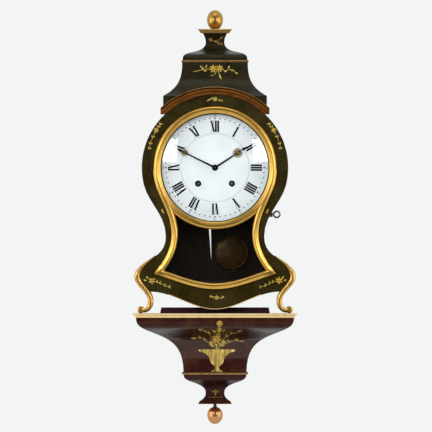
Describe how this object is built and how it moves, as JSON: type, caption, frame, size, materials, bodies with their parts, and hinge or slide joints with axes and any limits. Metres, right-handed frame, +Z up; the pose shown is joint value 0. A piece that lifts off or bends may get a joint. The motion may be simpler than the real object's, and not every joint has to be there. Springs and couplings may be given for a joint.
{
  "type": "bracket clock",
  "caption": "Waisted lacquered wall clock on its own bracket, with a hinged keyhole door, enamel dial, going train, pendulum and striking bell.",
  "frame": {"origin": "on the wall plane, behind the middle of the bracket's shelf at the level of its top", "axes": "+X to the viewer's right, +Y into the wall, +Z up; the clock faces -Y"},
  "size_m": [0.3544, 0.1672, 0.8888],
  "materials": {
    "case_lacquer": "dark green-black lacquer",
    "bracket_lacquer": "dark aubergine lacquer",
    "oak": "plain aged wood",
    "gilt": "gilt brass",
    "cornice_gilt": "bronzed gilding on wood",
    "brass": "polished",
    "glass": "clear",
    "steel": "dark blued",
    "enamel": "white enamel on copper",
    "bell_metal": "cast bell metal"
  },
  "bodies": {
    "clock": {"bell": "bell_metal", "bell_stand": "steel", "bracket_back_board": "bracket_lacquer", "bracket_bead": "gilt", "bracket_body": "bracket_lacquer", "bracket_finial": "brass", "bracket_lower_body": "bracket_lacquer", "bracket_shelf": "oak", "case_back_board": "oak", "case_floor": "oak", "case_front_board": "case_lacquer", "case_left_side": "case_lacquer", "case_right_side": "case_lacquer", "dial": "enamel", "front_left_foot": "brass", "front_right_foot": "brass", "hood_bead": "gilt", "hood_body": "case_lacquer", "hood_cap": "gilt", "hood_cornice": "cornice_gilt", "hood_crown": "case_lacquer", "key_escutcheon": "brass", "lock_case": "brass", "lower_hinge_strap": "brass", "movement_back_plate": "brass", "movement_front_plate": "brass", "movement_seat_board": "oak", "pendulum_cock": "brass", "rear_left_foot": "brass", "rear_right_foot": "brass", "shelf_gilt_moulding": "gilt", "top_finial": "brass", "upper_hinge_strap": "brass"},
    "door": {"door_frame": "gilt", "dial_glass": "glass", "window_glass": "glass", "upper_hinge_knuckle": "brass", "lower_hinge_knuckle": "brass", "door_keeper": "steel"},
    "latch": {"lock_hook": "steel"},
    "key": {"key": "steel"},
    "minute": {"cannon_pinion": "steel", "minute_hand": "steel", "hand_collet": "brass"},
    "hour": {"hour_wheel": "brass", "hour_hand": "steel"},
    "motion": {"minute_wheel": "brass"},
    "escape": {"escape_wheel": "brass"},
    "third": {"third_wheel": "brass"},
    "centre": {"centre_wheel": "brass"},
    "intermediate": {"intermediate_wheel": "brass"},
    "going_barrel": {"going_barrel": "brass"},
    "strike_barrel": {"strike_barrel": "brass"},
    "going_arbor": {"going_winding_arbor": "steel"},
    "strike_arbor": {"strike_winding_arbor": "steel"},
    "pendulum": {"pendulum_rod": "steel", "pendulum_bob": "brass", "rating_nut": "brass"},
    "anchor": {"pallet_anchor": "steel"},
    "hammer": {"strike_hammer": "steel"}
  },
  "joints": [
    {"name": "door_hinge", "type": "hinge", "parent": "clock", "child": "door", "pos_m": [-0.1357, -0.1431, 0.3137], "axis": [0, 0, -1], "range_deg": [0, 105]},
    {"name": "lock_turn", "type": "hinge", "parent": "clock", "child": "latch", "pos_m": [0.1, -0.1177, 0.213], "axis": [1, 0, 0], "range_deg": [0, 38]},
    {"name": "key_withdraw", "type": "slide", "parent": "latch", "child": "key", "axis": [1, 0, 0], "range_m": [0, 0.02]},
    {"name": "minute_hand_turn", "type": "hinge", "parent": "clock", "child": "minute", "pos_m": [0, -0.07, 0.3137], "axis": [0, 1, 0], "continuous": true},
    {"name": "hour_hand_turn", "type": "hinge", "parent": "clock", "child": "hour", "pos_m": [0, -0.07, 0.3137], "axis": [0, 1, 0], "continuous": true},
    {"name": "minute_wheel_turn", "type": "hinge", "parent": "clock", "child": "motion", "pos_m": [0, -0.07, 0.3387], "axis": [0, 1, 0], "continuous": true},
    {"name": "escape_wheel_turn", "type": "hinge", "parent": "clock", "child": "escape", "pos_m": [0, -0.07, 0.3497], "axis": [0, 1, 0], "continuous": true},
    {"name": "third_wheel_turn", "type": "hinge", "parent": "clock", "child": "third", "pos_m": [-0.022, -0.07, 0.3317], "axis": [0, 1, 0], "continuous": true},
    {"name": "centre_wheel_turn", "type": "hinge", "parent": "clock", "child": "centre", "pos_m": [0, -0.07, 0.3137], "axis": [0, 1, 0], "continuous": true},
    {"name": "intermediate_wheel_turn", "type": "hinge", "parent": "clock", "child": "intermediate", "pos_m": [0.034, -0.07, 0.3157], "axis": [0, 1, 0], "continuous": true},
    {"name": "going_barrel_turn", "type": "hinge", "parent": "clock", "child": "going_barrel", "pos_m": [0.0363, -0.07, 0.2793], "axis": [0, 1, 0], "continuous": true},
    {"name": "strike_barrel_turn", "type": "hinge", "parent": "clock", "child": "strike_barrel", "pos_m": [-0.0363, -0.07, 0.2793], "axis": [0, 1, 0], "continuous": true},
    {"name": "going_winding", "type": "hinge", "parent": "clock", "child": "going_arbor", "pos_m": [0.0363, -0.07, 0.2793], "axis": [0, 1, 0], "continuous": true},
    {"name": "strike_winding", "type": "hinge", "parent": "clock", "child": "strike_arbor", "pos_m": [-0.0363, -0.07, 0.2793], "axis": [0, 1, 0], "continuous": true},
    {"name": "pendulum_swing", "type": "hinge", "parent": "clock", "child": "pendulum", "pos_m": [0, -0.07, 0.371], "axis": [0, 1, 0], "range_deg": [-2, 19]},
    {"name": "anchor_rock", "type": "hinge", "parent": "clock", "child": "anchor", "pos_m": [0, -0.07, 0.371], "axis": [0, 1, 0], "range_deg": [-2, 19]},
    {"name": "hammer_lift", "type": "hinge", "parent": "clock", "child": "hammer", "pos_m": [0.052, -0.07, 0.3737], "axis": [0, 1, 0], "range_deg": [0, 15]}
  ],
  "couplings": [
    {"joint": "hour_hand_turn", "follows": "minute_hand_turn", "ratio": 0.083333},
    {"joint": "minute_wheel_turn", "follows": "minute_hand_turn", "ratio": -0.33333},
    {"joint": "third_wheel_turn", "follows": "escape_wheel_turn", "ratio": -0.1},
    {"joint": "centre_wheel_turn", "follows": "escape_wheel_turn", "ratio": 0.0083333},
    {"joint": "intermediate_wheel_turn", "follows": "escape_wheel_turn", "ratio": -0.0010417},
    {"joint": "going_barrel_turn", "follows": "escape_wheel_turn", "ratio": 0.00011574},
    {"joint": "anchor_rock", "follows": "pendulum_swing", "ratio": 1}
  ]
}
